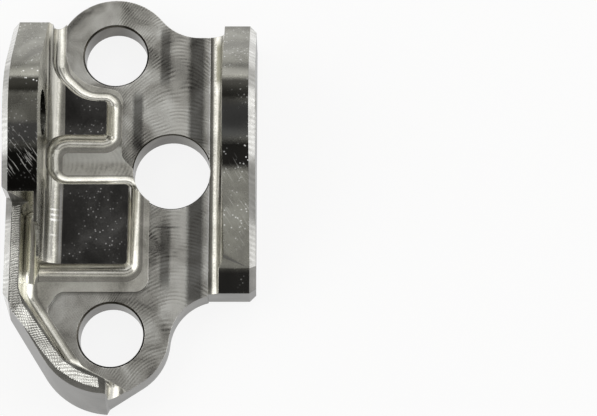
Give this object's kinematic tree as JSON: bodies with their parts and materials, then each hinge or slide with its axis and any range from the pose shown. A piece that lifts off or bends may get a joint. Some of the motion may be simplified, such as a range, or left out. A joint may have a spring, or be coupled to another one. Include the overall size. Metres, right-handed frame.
{
  "type": "machined mounting block",
  "caption": "Milled steel mounting block: a web with three bores between two upright ears with a cross bore, pads, pocket and a curved rim.",
  "frame": {"origin": "centre of the large bore, on the flat back face", "axes": "+Z from the back face to the ears, along the bores; +Y along the block towards the round lug; +X towards the plain ear, along the cross bore"},
  "size_m": [0.0392, 0.0682, 0.0211],
  "materials": {
    "milled_steel": "milled, bright, with tool marks"
  },
  "bodies": {
    "root": {"mounting_block": "milled_steel"}
  },
  "joints": []
}
